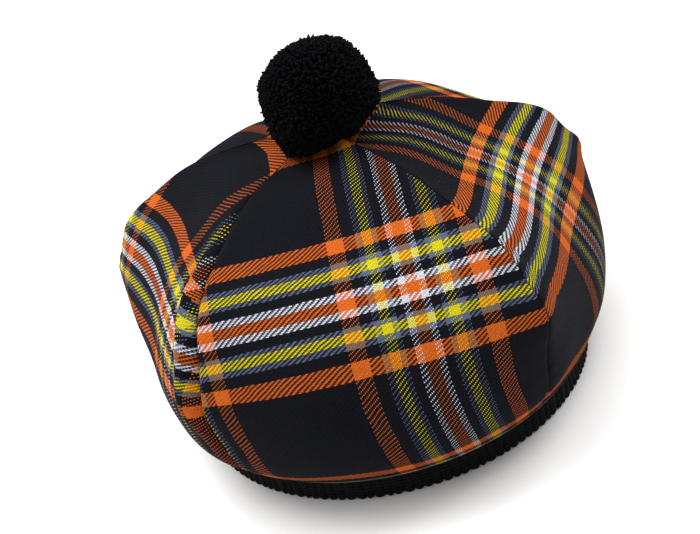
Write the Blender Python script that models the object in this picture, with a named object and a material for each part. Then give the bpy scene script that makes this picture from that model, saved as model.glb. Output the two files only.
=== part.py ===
"""Tam o' shanter: a gored tartan crown on a ribbed knit headband, with a yarn pompom.

The crown is five shaped cloth panels that meet along seams from the pompom to
the hem. Each panel is laid over the same table of sections: a section is one
ring round the hat, given by its middle of panel and by its seam. The seam at
the front left is pinched in, as the cloth there has folded over the seam.
"""

import math

import bmesh
import bpy
import numpy as np
from mathutils import Vector

# Driving dimensions, in metres
CROWN_RADIUS = 0.122
CROWN_RISE = 0.112
CLOTH_WALL = 0.002
APEX_RADIUS = 0.0015
PANELS = 5
FRONT_PANEL_ANGLE = math.radians(-95.9)
BAND_RADIUS = 0.0945
BAND_WALL = 0.0034
BAND_HEIGHT = 0.028
BAND_SHOWN = 0.0105
RIB_COUNT = 150
RIB_DEPTH = 0.0012
CROWN_LEAN_LEFT = 0.005
CROWN_LEAN_BACK = 0.003
POMPOM_RADIUS = 0.0256
POMPOM_TUFT = 0.0028
POMPOM_LEAN_RIGHT = 0.0085
POMPOM_LEAN_FRONT = 0.007
POMPOM_SINK = 0.0105
GAP = 0.0003
SEAT_GAP = 0.0006
SEAT_MARGIN = 0.004

# Mesh density
PANEL_COLUMNS = 14
PANEL_ROWS = 21
POMPOM_SUBDIVISIONS = 3

# Ring sections of the crown's top, from the apex out to the corner of the crown.
# Columns: middle of panel out, middle of panel up, seam out, seam up,
# pinched seam in, pinched seam down.
# Out and in are shares of CROWN_RADIUS, up and down are shares of CROWN_RISE.
TOP_SECTIONS = (
    (0.127, 0.956, 0.204, 0.987, 0.030, 0.030),
    (0.344, 0.898, 0.459, 0.925, 0.034, 0.032),
    (0.540, 0.770, 0.707, 0.806, 0.041, 0.036),
    (0.623, 0.720, 0.803, 0.752, 0.056, 0.040),
    (0.706, 0.656, 0.882, 0.683, 0.074, 0.045),
    (0.778, 0.586, 0.938, 0.588, 0.090, 0.050),
    (0.834, 0.504, 0.985, 0.505, 0.102, 0.054),
)

# Ring sections of the crown's side, from its widest ring down to the hem, in the same
# columns. Here out is a share of the overhang from the hem's radius to CROWN_RADIUS.
SIDE_SECTIONS = (
    (0.560, 0.281, 0.700, 0.290, 0.041, 0.027),
    (0.453, 0.147, 0.490, 0.147, 0.010, 0.006),
    (0.230, 0.0625, 0.230, 0.0625, 0.0, 0.0),
    (0.110, 0.027, 0.110, 0.027, 0.0, 0.0),
    (0.0, 0.0, 0.0, 0.0, 0.0, 0.0),
)

# How far each panel puffs beyond the sections, by its middle, from the front panel round
# to the left one. Columns: top up, side out. Both are shares of CROWN_RISE.
PANEL_PUFFS = (
    (0.0, 0.0),
    (0.010, -0.045),
    (0.215, 0.0),
    (0.160, 0.0),
    (0.040, -0.090),
)

# How much of the sections' pinch each seam takes, from the front panel's left seam round.
# A share below zero pulls the seam out and up instead.
SEAM_PINCHES = (1.0, 0.0, -0.7, 0.0, -0.3)

# Plain colours and surfaces of the materials: red, green, blue, roughness
TARTAN_CLOTH = (0.030, 0.031, 0.040, 0.92)
RIB_KNIT = (0.012, 0.012, 0.014, 0.95)
POMPOM_YARN = (0.006, 0.006, 0.007, 0.97)

# Share of the crown's rise at which its top meets its side
CORNER_SHARE = 0.45

HALF_PANEL = math.pi / PANELS
HEM_RADIUS = (BAND_RADIUS + GAP) / math.cos(HALF_PANEL / PANEL_COLUMNS)
OVERHANG = CROWN_RADIUS - HEM_RADIUS
APEX_HEIGHT = BAND_SHOWN + CROWN_RISE


def clear_scene():
    """Remove every object of the scene."""
    for thing in list(bpy.data.objects):
        bpy.data.objects.remove(thing, do_unlink=True)


def make_material(name, look):
    """Return a Principled material with the colour and roughness of the look."""
    red, green, blue, roughness = look
    material = bpy.data.materials.new(name)
    material.use_nodes = True
    shader = material.node_tree.nodes["Principled BSDF"]
    shader.inputs["Base Color"].default_value = (red, green, blue, 1.0)
    shader.inputs["Roughness"].default_value = roughness
    shader.inputs["Metallic"].default_value = 0.0
    return material


def add_object(name, shape, material):
    """Turn a bmesh into a named object with its material, faces pointing out."""
    bmesh.ops.recalc_face_normals(shape, faces=shape.faces)
    mesh = bpy.data.meshes.new(name)
    shape.to_mesh(mesh)
    shape.free()
    mesh.materials.append(material)
    mesh.shade_smooth()
    mesh.set_sharp_from_angle(angle=math.radians(40))
    thing = bpy.data.objects.new(name, mesh)
    bpy.context.collection.objects.link(thing)
    return thing


def crown_sections():
    """Return the sections in metres, one row each, from the apex to the hem."""
    rows = [(APEX_RADIUS, APEX_HEIGHT, APEX_RADIUS, APEX_HEIGHT, 0.0, 0.0)]
    for sections, start, reach in ((TOP_SECTIONS, 0.0, CROWN_RADIUS), (SIDE_SECTIONS, HEM_RADIUS, OVERHANG)):
        for mid_out, mid_up, seam_out, seam_up, pinch_in, pinch_down in sections:
            rows.append((
                start + mid_out * reach,
                BAND_SHOWN + mid_up * CROWN_RISE,
                start + seam_out * reach,
                BAND_SHOWN + seam_up * CROWN_RISE,
                pinch_in * CROWN_RADIUS,
                pinch_down * CROWN_RISE,
            ))
    return np.array(rows)


def smooth_through(rows, count):
    """Return count rows on a smooth curve through the given rows, evenly spaced along it."""
    steps = np.linalg.norm(np.diff(rows[:, :4], axis=0), axis=1)
    run = np.concatenate(([0.0], np.cumsum(steps)))
    slopes = np.gradient(rows, run, axis=0)
    wanted = np.linspace(0.0, run[-1], count)
    which = np.clip(np.searchsorted(run, wanted, side="right") - 1, 0, len(run) - 2)
    length = (run[which + 1] - run[which])[:, None]
    u = (wanted[:, None] - run[which][:, None]) / length
    start = rows[which] * (1 + 2 * u) * (1 - u) ** 2 + slopes[which] * length * u * (1 - u) ** 2
    end = rows[which + 1] * u * u * (3 - 2 * u) + slopes[which + 1] * length * u * u * (u - 1)
    return start + end


def crown_rings():
    """Return the crown's rings, evenly spaced from the apex to the hem, as rows of a section."""
    return smooth_through(crown_sections(), PANEL_ROWS + 1)


def puff_shares(height):
    """Return how much of the top puff and of the side puff a ring at this height takes."""
    share = (height - BAND_SHOWN) / CROWN_RISE
    top = math.sin(math.pi * min(max((share - CORNER_SHARE) / (1 - CORNER_SHARE), 0.0), 1.0))
    side = math.sin(math.pi * min(max(share / (2 * CORNER_SHARE), 0.0), 1.0))
    return top, side


def panel_grid(panel):
    """Return the panel's outer surface as points by row and column."""
    angle = FRONT_PANEL_ANGLE + panel * 2 * HALF_PANEL
    outward = np.array((math.cos(angle), math.sin(angle), 0.0))
    across = np.array((-math.sin(angle), math.cos(angle), 0.0))
    up = np.array((0.0, 0.0, 1.0))
    t = np.linspace(-1.0, 1.0, PANEL_COLUMNS + 1)
    pinch = np.where(t < 0, SEAM_PINCHES[panel], SEAM_PINCHES[(panel + 1) % PANELS])
    middle = (1 - t * t) ** 2
    top_puff, side_puff = PANEL_PUFFS[panel]
    grid = []
    for mid_r, mid_z, seam_r, seam_z, pinch_in, pinch_down in crown_rings():
        radius = seam_r - pinch * pinch_in
        height = seam_z - pinch * pinch_down
        top, side = puff_shares(mid_z)
        out = radius * np.cos(HALF_PANEL * t) + (mid_r - radius) * (1 - t * t)
        out += side * side_puff * CROWN_RISE * middle
        sideways = radius * np.sin(HALF_PANEL * t)
        rise = mid_z + (height - mid_z) * t * t + top * top_puff * CROWN_RISE * middle
        grid.append(out[:, None] * outward + sideways[:, None] * across + rise[:, None] * up)
    return np.array(grid), outward, across


def seam_planes(outward, across):
    """Return the panel's edge columns, each with its seam plane's normal pointing off the panel."""
    side = across * math.cos(HALF_PANEL)
    inward = outward * math.sin(HALF_PANEL)
    return ((0, -side - inward), (-1, side - inward))


def inner_wall(grid, outward, across):
    """Return the grid moved one wall thickness inwards, with mitred edges and an upright apex."""
    normal = np.cross(np.gradient(grid, axis=0), np.gradient(grid, axis=1))
    normal /= np.linalg.norm(normal, axis=2, keepdims=True)
    slant = np.clip(np.linalg.norm(grid[..., :2], axis=2) / (CROWN_RADIUS / 3), 0, 1)[..., None]
    normal = normal * slant + np.array((0.0, 0.0, 1.0)) * (1 - slant)
    normal /= np.linalg.norm(normal, axis=2, keepdims=True)
    for column, plane in seam_planes(outward, across):
        edge = normal[:, column]
        edge = edge - (edge @ plane)[:, None] * plane
        normal[:, column] = edge / np.maximum((edge * edge).sum(axis=1), 0.5)[:, None]
    normal[-1] = (0.0, 0.0, -1.0)
    return grid - normal * CLOTH_WALL


def open_seams(outer, inner, outward, across):
    """Keep the wall on its own side of both seam planes, with its edges half a gap away."""
    for column, plane in seam_planes(outward, across):
        for grid in (outer, inner):
            room = -(grid @ plane)
            least = GAP / 2 + np.maximum(-(outer @ plane), 0.0) / 2
            least[:, column] = GAP / 2
            short = np.maximum(least - room, 0.0)
            short[:, column] = GAP / 2 - room[:, column]
            grid -= short[..., None] * plane


def lean_rings(grid):
    """Move the rings left and back, from none at the hem to the whole lean at the crown's corner."""
    heights = crown_rings()[:, 1]
    share = np.clip((heights - BAND_SHOWN) / (CORNER_SHARE * CROWN_RISE), 0.0, 1.0)
    lean = (share * share * (3 - 2 * share))[:, None]
    grid[..., 0] -= CROWN_LEAN_LEFT * lean
    grid[..., 1] += CROWN_LEAN_BACK * lean


def build_panel(panel, material):
    """Build one crown panel as a closed cloth wall."""
    outer, outward, across = panel_grid(panel)
    inner = inner_wall(outer, outward, across)
    open_seams(outer, inner, outward, across)
    lean_rings(outer)
    lean_rings(inner)
    shape = bmesh.new()
    sheets = []
    for grid in (outer, inner):
        sheets.append([[shape.verts.new(point) for point in row] for row in grid])
    for sheet in sheets:
        for row, below in zip(sheet, sheet[1:]):
            for column in range(PANEL_COLUMNS):
                shape.faces.new((row[column], row[column + 1], below[column + 1], below[column]))
    outside, inside = sheets
    rims = (
        (outside[0], inside[0]),
        (outside[-1], inside[-1]),
        ([row[0] for row in outside], [row[0] for row in inside]),
        ([row[-1] for row in outside], [row[-1] for row in inside]),
    )
    for outer_rim, inner_rim in rims:
        for step in range(len(outer_rim) - 1):
            shape.faces.new((outer_rim[step], outer_rim[step + 1], inner_rim[step + 1], inner_rim[step]))
    return add_object(f"crown_panel_{panel + 1}", shape, material)


def build_headband(material):
    """Build the knit band as one ring whose outer face is drawn into upright ribs."""
    inner_radius = BAND_RADIUS - BAND_WALL
    shape = bmesh.new()
    rings = []
    for index in range(2 * RIB_COUNT):
        angle = math.pi * index / RIB_COUNT
        outer_radius = BAND_RADIUS - RIB_DEPTH * (index % 2)
        corners = ((outer_radius, 0.0), (outer_radius, BAND_HEIGHT), (inner_radius, BAND_HEIGHT), (inner_radius, 0.0))
        rings.append([
            shape.verts.new((radius * math.cos(angle), radius * math.sin(angle), height))
            for radius, height in corners
        ])
    for ring, following in zip(rings, rings[1:] + rings[:1]):
        for corner in range(4):
            after = (corner + 1) % 4
            shape.faces.new((ring[corner], following[corner], following[after], ring[after]))
    return add_object("headband", shape, material)


def build_seat():
    """Build the solid that hollows the pompom's underside: the crown's top, lifted by the gap."""
    grids = [panel_grid(panel)[0] for panel in range(PANELS)]
    for grid in grids:
        lean_rings(grid)
    lift = np.array((0.0, 0.0, SEAT_GAP))
    reach = POMPOM_RADIUS + math.hypot(POMPOM_LEAN_RIGHT, POMPOM_LEAN_FRONT) + SEAT_MARGIN
    last = int(np.searchsorted(crown_rings()[:, 0], reach)) + 1
    shape = bmesh.new()
    rings = []
    for row in range(last):
        points = [point + lift for grid in grids for point in grid[row, :-1]]
        rings.append([shape.verts.new(point) for point in points])
    floor = APEX_HEIGHT - 2 * POMPOM_RADIUS
    rings.append([shape.verts.new((vert.co.x, vert.co.y, floor)) for vert in rings[-1]])
    for ring, below in zip(rings, rings[1:]):
        for index in range(len(ring)):
            after = (index + 1) % len(ring)
            shape.faces.new((ring[index], ring[after], below[after], below[index]))
    shape.faces.new(rings[0])
    shape.faces.new(rings[-1])
    bmesh.ops.recalc_face_normals(shape, faces=shape.faces)
    mesh = bpy.data.meshes.new("pompom_seat")
    shape.to_mesh(mesh)
    shape.free()
    seat = bpy.data.objects.new("pompom_seat", mesh)
    seat.hide_render = True
    seat.display_type = "WIRE"
    bpy.context.collection.objects.link(seat)
    return seat


def build_pompom(seat, material):
    """Build the pompom as a ball of short tufts, hollowed where it sits on the crown."""
    centre = Vector((
        POMPOM_LEAN_RIGHT - CROWN_LEAN_LEFT,
        CROWN_LEAN_BACK - POMPOM_LEAN_FRONT,
        APEX_HEIGHT + POMPOM_RADIUS - POMPOM_SINK,
    ))
    shape = bmesh.new()
    bmesh.ops.create_icosphere(
        shape, subdivisions=POMPOM_SUBDIVISIONS, radius=POMPOM_RADIUS - POMPOM_TUFT,
    )
    poked = bmesh.ops.poke(shape, faces=shape.faces)
    for tip in poked["verts"]:
        tip.co = tip.co.normalized() * POMPOM_RADIUS
    bmesh.ops.translate(shape, verts=shape.verts, vec=centre)
    pompom = add_object("pompom", shape, material)
    hollow = pompom.modifiers.new("seat", "BOOLEAN")
    hollow.operation = "DIFFERENCE"
    hollow.solver = "EXACT"
    hollow.object = seat
    return pompom


def centre_on_origin(things, measured):
    """Move all the things so that the middle of the measured pieces' box stands over the origin."""
    points = np.array([v.co for thing in measured for v in thing.data.vertices])
    middle = (points.min(axis=0) + points.max(axis=0)) / 2
    shift = Vector((-middle[0], -middle[1], 0.0))
    for thing in things:
        for vert in thing.data.vertices:
            vert.co += shift


def main():
    """Build the hat."""
    clear_scene()
    cloth = make_material("tartan_cloth", TARTAN_CLOTH)
    knit = make_material("rib_knit", RIB_KNIT)
    yarn = make_material("pompom_yarn", POMPOM_YARN)
    panels = [build_panel(panel, cloth) for panel in range(PANELS)]
    headband = build_headband(knit)
    seat = build_seat()
    pompom = build_pompom(seat, yarn)
    centre_on_origin(panels + [headband, seat, pompom], panels)


main()
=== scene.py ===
"""Dress the tam o' shanter: tartan twill crown, rib knit headband and cut yarn pompom.

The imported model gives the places. Every sub-assembly is a class that holds its
sizes in metres and builds its own meshes, and every finish is a small class
that builds its own material.
"""

import logging
import math
from dataclasses import dataclass, field
from enum import Enum

import bmesh
import bpy
import numpy as np
from bpy.types import Material, Node, NodeSocket, Object
from mathutils import Matrix, Vector

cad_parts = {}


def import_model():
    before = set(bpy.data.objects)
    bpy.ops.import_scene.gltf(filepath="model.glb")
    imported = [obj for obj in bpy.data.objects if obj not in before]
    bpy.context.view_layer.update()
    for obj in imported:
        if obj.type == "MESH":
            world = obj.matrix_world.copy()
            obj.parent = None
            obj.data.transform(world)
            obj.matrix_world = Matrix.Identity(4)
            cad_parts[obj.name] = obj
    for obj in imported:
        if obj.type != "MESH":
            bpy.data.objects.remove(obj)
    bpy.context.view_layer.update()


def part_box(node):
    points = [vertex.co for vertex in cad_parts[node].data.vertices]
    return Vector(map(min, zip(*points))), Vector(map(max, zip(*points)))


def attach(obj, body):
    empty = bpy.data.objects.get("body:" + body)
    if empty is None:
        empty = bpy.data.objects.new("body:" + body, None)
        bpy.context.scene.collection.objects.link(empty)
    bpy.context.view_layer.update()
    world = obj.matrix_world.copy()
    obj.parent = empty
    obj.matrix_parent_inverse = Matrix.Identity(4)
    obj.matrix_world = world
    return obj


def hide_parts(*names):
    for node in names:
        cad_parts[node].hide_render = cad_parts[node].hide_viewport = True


LOG = logging.getLogger("tam_o_shanter")
FLAT_PATTERN = "flat_pattern"
YARN_SHADE = "yarn_shade"
SAME_PLACE = 1e-6
NO_LENGTH = 1e-12


class Dye(Enum):
    """The dyed yarns of the cloth, as linear red, green and blue."""

    BLACK = (0.0066, 0.0070, 0.0105)
    BLUE = (0.120, 0.145, 0.235)
    YELLOW = (0.720, 0.640, 0.014)
    WHITE = (0.700, 0.700, 0.800)
    ORANGE = (0.720, 0.140, 0.016)


class NodeBench:
    """Adds and joins the nodes of one material."""

    def __init__(self, name: str) -> None:
        """Start a material with a Principled shader.

        Args:
            name: the material's name.
        """
        self.material: Material = bpy.data.materials.new(name)
        self.material.use_nodes = True
        self.tree = self.material.node_tree
        self.shader: Node = self.tree.nodes["Principled BSDF"]

    def add(self, kind: str, **settings: object) -> Node:
        """Add a node.

        Args:
            kind: the node's type name.
            settings: the node's own properties.

        Returns:
            The new node.
        """
        node = self.tree.nodes.new(kind)
        for name, value in settings.items():
            setattr(node, name, value)
        return node

    def feed(self, socket: NodeSocket, value: object) -> None:
        """Join a socket to another one, or set its own value.

        Args:
            socket: the input that is fed.
            value: an output socket, a number or a colour.
        """
        if isinstance(value, NodeSocket):
            self.tree.links.new(value, socket)
        else:
            socket.default_value = value

    def math(self, operation: str, *values: object) -> NodeSocket:
        """Add a Math node.

        Args:
            operation: the node's operation.
            values: its inputs, as sockets or numbers.

        Returns:
            The result's socket.
        """
        node = self.add("ShaderNodeMath", operation=operation)
        for socket, value in zip(node.inputs, values):
            self.feed(socket, value)
        return node.outputs[0]

    def blend(self, share: object, first: object, second: object, kind: str = "MIX") -> NodeSocket:
        """Mix two colours.

        Args:
            share: how much of the second colour shows.
            first: the first colour.
            second: the second colour.
            kind: the way in which they mix.

        Returns:
            The mixed colour's socket.
        """
        node = self.add("ShaderNodeMix", data_type="RGBA", blend_type=kind)
        for socket, value in zip((node.inputs[0], *node.inputs[6:8]), (share, first, second)):
            self.feed(socket, value)
        return node.outputs[2]

    def grey(self, value: NodeSocket) -> NodeSocket:
        """Turn a number into a grey.

        Args:
            value: the number's socket.

        Returns:
            The grey's socket.
        """
        node = self.add("ShaderNodeCombineColor")
        for socket in node.inputs[:3]:
            self.feed(socket, value)
        return node.outputs[0]

    def spread(
        self, value: object, low: float, high: float, to_low: float, to_high: float,
    ) -> NodeSocket:
        """Map a range smoothly onto another one.

        Args:
            value: the number that is mapped.
            low: where the range starts.
            high: where it ends.
            to_low: what its start becomes.
            to_high: what its end becomes.

        Returns:
            The mapped number's socket.
        """
        node = self.add("ShaderNodeMapRange", interpolation_type="SMOOTHSTEP")
        for socket, number in zip(node.inputs, (value, low, high, to_low, to_high)):
            self.feed(socket, number)
        return node.outputs[0]

    def noise(self, scale: float, detail: float = 2.0, place: NodeSocket | None = None) -> NodeSocket:
        """Add a noise texture.

        Args:
            scale: its scale, in waves per unit of place.
            detail: how many finer layers it has.
            place: where it is read, or None for the object's own space.

        Returns:
            The noise's number, from 0 to 1.
        """
        node = self.add("ShaderNodeTexNoise")
        node.inputs["Scale"].default_value = scale
        node.inputs["Detail"].default_value = detail
        if place is None:
            place = self.add("ShaderNodeTexCoord").outputs["Object"]
        self.feed(node.inputs["Vector"], place)
        return node.outputs[0]

    def bump(
        self, height: NodeSocket, distance: float, strength: float, under: NodeSocket | None = None,
    ) -> NodeSocket:
        """Add a bump.

        Args:
            height: the height's socket.
            distance: how far one unit of height reaches, in metres.
            strength: how much of the bump is used.
            under: the normal of a coarser bump below it.

        Returns:
            The bumped normal's socket.
        """
        node = self.add("ShaderNodeBump")
        node.inputs["Strength"].default_value = strength
        node.inputs["Distance"].default_value = distance
        self.feed(node.inputs["Height"], height)
        if under is not None:
            self.feed(node.inputs["Normal"], under)
        return node.outputs[0]


@dataclass(frozen=True)
class DullSurface:
    """The fuzz and the faint gloss of a yarn surface."""

    fuzz_per_metre: float
    fuzz_detail: float
    fuzz_range: tuple[float, float]
    roughness: tuple[float, float]
    specular: float
    sheen: float
    sheen_roughness: float
    sheen_tint: tuple[float, float, float] = (1.0, 1.0, 1.0)

    def fuzz(self, bench: NodeBench) -> NodeSocket:
        """Return the noise of the loose fibres."""
        return bench.noise(self.fuzz_per_metre, self.fuzz_detail)

    def dress(self, bench: NodeBench, fuzz: NodeSocket) -> None:
        """Set the gloss of a material's shader.

        Args:
            bench: the material's nodes.
            fuzz: the noise of the loose fibres.
        """
        inputs = bench.shader.inputs
        bench.feed(inputs["Roughness"], bench.spread(fuzz, *self.fuzz_range, *self.roughness))
        inputs["Specular IOR Level"].default_value = self.specular
        inputs["Sheen Weight"].default_value = self.sheen
        inputs["Sheen Roughness"].default_value = self.sheen_roughness
        inputs["Sheen Tint"].default_value = (*self.sheen_tint, 1.0)


@dataclass(frozen=True)
class TartanTwill:
    """Two-and-two twill in a tartan sett, woven with more weft threads than warp threads.

    A place on the flat cloth is told in warp threads, across and down. The sett runs
    the same both ways out from its middle stripe, and then through a black field.
    """

    stripes: tuple[tuple[Dye, int], ...] = (
        (Dye.ORANGE, 3),
        (Dye.WHITE, 4),
        (Dye.BLACK, 5),
        (Dye.BLUE, 3),
        (Dye.YELLOW, 6),
        (Dye.BLUE, 4),
        (Dye.BLACK, 7),
        (Dye.ORANGE, 10),
    )
    warp_repeat: float = 159.0
    weft_repeat: float = 150.0
    weft_middle: float = 115.0
    wefts_per_warp: float = 1.5
    twill_step: float = 4.0
    # A thread's own waviness: waves per thread, and how many threads it strays.
    stray: tuple[float, float] = (0.09, 1.6)
    warp_dot_length: float = 0.76
    warp_dot_width: float = 0.31
    warp_dot_squareness: float = 2.6
    warp_dot_edge: tuple[float, float] = (0.75, 1.25)
    # Where a thread starts to fall, where it ends, its height at the top and at the end.
    warp_fall: tuple[float, float, float, float] = (0.0, 1.35, 0.84, 0.1)
    weft_fall: tuple[float, float, float, float] = (0.15, 0.5, 1.0, 0.45)
    float_fall: tuple[float, float, float, float] = (0.50, 1.15, 1.0, 0.08)
    # Heights of a dip between threads and of a crest, and how bright the painted shade leaves each one.
    painted_hollow_shade: tuple[float, float, float, float] = (0.05, 0.9, 0.12, 1.0)
    darkest_thread: float = 0.80
    # How strong the painted bounce light is that fills back the painted shade between threads.
    painted_bounce_strength: float = 0.62
    thread_relief: float = 0.00028
    thread_bump: float = 0.9
    ply_per_thread: float = 5.0
    ply_share: float = 0.35
    fuzz_relief: float = 0.00012
    fuzz_bump: float = 0.5
    surface: DullSurface = DullSurface(
        fuzz_per_metre=1400.0, fuzz_detail=3.0, fuzz_range=(0.3, 0.7), roughness=(0.72, 0.92),
        specular=0.04, sheen=0.010, sheen_roughness=0.35, sheen_tint=(0.75, 0.80, 1.0),
    )

    def stripe_colour(
        self, bench: NodeBench, place: NodeSocket, middle: float, repeat: float,
    ) -> NodeSocket:
        """Colour a thread by its place in the sett.

        Args:
            bench: the material's nodes.
            place: the thread's place across the cloth, in warp threads.
            middle: where the sett's middle stripe lies.
            repeat: the sett's whole repeat.

        Returns:
            The thread's colour.
        """
        half = repeat / 2
        wrapped = bench.math("FLOORED_MODULO", bench.math("ADD", place, half - middle), repeat)
        away = bench.math("ABSOLUTE", bench.math("SUBTRACT", wrapped, half))
        node = bench.add("ShaderNodeValToRGB")
        bench.feed(node.inputs[0], bench.math("DIVIDE", away, half))
        ramp = node.color_ramp
        ramp.interpolation = "CONSTANT"
        ramp.elements.remove(ramp.elements[1])
        edge = 0
        for index, (dye, width) in enumerate(self.stripes):
            stop = ramp.elements[0] if index == 0 else ramp.elements.new(edge / half)
            stop.color = (*dye.value, 1.0)
            edge += width
        ramp.elements.new(edge / half).color = (*Dye.BLACK.value, 1.0)
        return node.outputs[0]

    def squared(self, bench: NodeBench, place: NodeSocket, half: float) -> NodeSocket:
        """Return how far out a place in a warp dot lies, with the dot's corners squared.

        Args:
            bench: the material's nodes.
            place: the place, from the dot's middle.
            half: half of the dot's size.

        Returns:
            The share, 0 in the middle and 1 at the edge.
        """
        share = bench.math("ABSOLUTE", bench.math("DIVIDE", place, half))
        return bench.math("POWER", share, self.warp_dot_squareness)

    def material(self, name: str, warp_middle: float) -> Material:
        """Build the cloth's material for one panel.

        Args:
            name: the material's name.
            warp_middle: where the warp's middle stripe lies, in threads from the panel's middle.

        Returns:
            The material.
        """
        bench = NodeBench(name)
        flat = bench.add("ShaderNodeUVMap", uv_map=FLAT_PATTERN).outputs[0]
        split = bench.add("ShaderNodeSeparateXYZ")
        bench.feed(split.inputs[0], flat)
        waves_per_thread, threads = self.stray
        wavy = bench.math("SUBTRACT", bench.noise(waves_per_thread, 1.0, flat), 0.5)
        stray = bench.math("MULTIPLY", wavy, threads)
        across = bench.math("ADD", split.outputs[0], stray)
        down = bench.math("ADD", bench.math("MULTIPLY", split.outputs[1], self.wefts_per_warp), stray)
        warp = bench.math("FLOOR", across)
        weft = bench.math("FLOOR", down)
        in_warp = bench.math("SUBTRACT", bench.math("SUBTRACT", across, warp), 0.5)
        in_weft = bench.math("SUBTRACT", bench.math("SUBTRACT", down, weft), 0.5)
        warp_step = bench.math("FLOORED_MODULO", bench.math("ADD", down, warp), self.twill_step)
        weft_step = bench.math("FLOORED_MODULO", bench.math("ADD", across, weft), self.twill_step)
        warp_run = bench.math("SUBTRACT", warp_step, self.twill_step / 4)
        weft_run = bench.math("SUBTRACT", weft_step, self.twill_step * 3 / 4)

        reach = bench.math(
            "ADD",
            self.squared(bench, warp_run, self.warp_dot_length),
            self.squared(bench, in_warp, self.warp_dot_width),
        )
        warp_shows = bench.spread(reach, *self.warp_dot_edge, 1.0, 0.0)
        warp_height = bench.spread(reach, *self.warp_fall)
        weft_round = bench.spread(bench.math("ABSOLUTE", in_weft), *self.weft_fall)
        weft_float = bench.spread(bench.math("ABSOLUTE", weft_run), *self.float_fall)
        height = bench.math("MAXIMUM", warp_height, bench.math("MULTIPLY", weft_round, weft_float))

        warp_place = bench.math("ADD", warp, 0.5)
        weft_place = bench.math("DIVIDE", bench.math("ADD", weft, 0.5), self.wefts_per_warp)
        warp_colour = self.stripe_colour(bench, warp_place, warp_middle, self.warp_repeat)
        weft_colour = self.stripe_colour(bench, weft_place, self.weft_middle, self.weft_repeat)
        colour = bench.blend(warp_shows, weft_colour, warp_colour)

        cell = bench.add("ShaderNodeCombineXYZ")
        bench.feed(cell.inputs[0], warp)
        bench.feed(cell.inputs[1], weft)
        chance = bench.add("ShaderNodeTexWhiteNoise", noise_dimensions="2D")
        bench.feed(chance.inputs["Vector"], cell.outputs[0])
        # Painted shade: the colour darkens with the thread's height in the dips between threads, and each
        # thread also takes a random tone.
        uneven = bench.spread(chance.outputs["Value"], 0.0, 1.0, self.darkest_thread, 1.0)
        shade = bench.math("MULTIPLY", bench.spread(height, *self.painted_hollow_shade), uneven)
        lit = bench.blend(1.0, colour, bench.grey(shade), "MULTIPLY")
        # Painted bounce light: the darker of the two thread colours fills back part of the painted shade,
        # most where both threads are bright.
        painted_bounce_colour = bench.blend(1.0, warp_colour, weft_colour, "DARKEN")
        painted_bounce_share = bench.math("MULTIPLY", bench.math("SUBTRACT", 1.0, shade), self.painted_bounce_strength)
        painted_bounce_light = bench.blend(1.0, painted_bounce_colour, bench.grey(painted_bounce_share), "MULTIPLY")
        bench.feed(bench.shader.inputs["Base Color"], bench.blend(1.0, lit, painted_bounce_light, "ADD"))

        fuzz = self.surface.fuzz(bench)
        ply = bench.math("MULTIPLY", bench.noise(self.ply_per_thread, 1.0, flat), self.ply_share)
        soft = bench.bump(fuzz, self.fuzz_relief, self.fuzz_bump)
        normal = bench.bump(bench.math("ADD", height, ply), self.thread_relief, self.thread_bump, soft)
        bench.feed(bench.shader.inputs["Normal"], normal)
        self.surface.dress(bench, fuzz)
        return bench.material


@dataclass(frozen=True)
class RibKnit:
    """Black rib knit, with its stitches told along each rib."""

    # Painted shade and painted light: colour is the painted shade in the dips of the stitches, lit the
    # painted light on their crests.
    colour: tuple[float, float, float] = (0.0020, 0.0020, 0.0027)
    lit: tuple[float, float, float] = (0.0080, 0.0080, 0.0105)
    stitch_slant: float = 1.6
    stitch_relief: float = 0.0003
    stitch_bump: float = 0.8
    # Distances from a stitch's middle, and the height there.
    stitch_fall: tuple[float, float, float, float] = (0.05, 0.48, 1.0, 0.0)
    groove_rise: tuple[float, float, float, float] = (0.0, 0.10, 0.35, 1.0)
    fuzz_relief: float = 0.00012
    fuzz_bump: float = 0.6
    fuzz_darkest: float = 0.5
    surface: DullSurface = DullSurface(
        fuzz_per_metre=1800.0, fuzz_detail=3.0, fuzz_range=(0.3, 0.7), roughness=(0.8, 0.97),
        specular=0.08, sheen=0.012, sheen_roughness=0.5,
    )

    @staticmethod
    def from_middle(bench: NodeBench, place: NodeSocket) -> NodeSocket:
        """Return how far a place lies from the middle of its stitch."""
        return bench.math("ABSOLUTE", bench.math("SUBTRACT", bench.math("FRACT", place), 0.5))

    def material(self) -> Material:
        """Build the knit's material.

        Returns:
            The material.
        """
        bench = NodeBench("black_rib_knit")
        flat = bench.add("ShaderNodeUVMap", uv_map=FLAT_PATTERN).outputs[0]
        split = bench.add("ShaderNodeSeparateXYZ")
        bench.feed(split.inputs[0], flat)
        across = self.from_middle(bench, split.outputs[0])
        slanted = bench.math("ADD", split.outputs[1], bench.math("MULTIPLY", across, self.stitch_slant))
        stitch = bench.spread(self.from_middle(bench, slanted), *self.stitch_fall)
        height = bench.math("MULTIPLY", stitch, bench.spread(across, *self.groove_rise))
        fuzz = self.surface.fuzz(bench)
        fibres = bench.spread(fuzz, *self.surface.fuzz_range, self.fuzz_darkest, 1.0)
        # The stitch height paints the shade and the light, and the fibres add a random tone.
        mixed = bench.math("MULTIPLY", height, fibres)
        colour = bench.blend(mixed, (*self.colour, 1.0), (*self.lit, 1.0))
        bench.feed(bench.shader.inputs["Base Color"], colour)
        soft = bench.bump(fuzz, self.fuzz_relief, self.fuzz_bump)
        normal = bench.bump(height, self.stitch_relief, self.stitch_bump, soft)
        bench.feed(bench.shader.inputs["Normal"], normal)
        self.surface.dress(bench, fuzz)
        return bench.material


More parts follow.
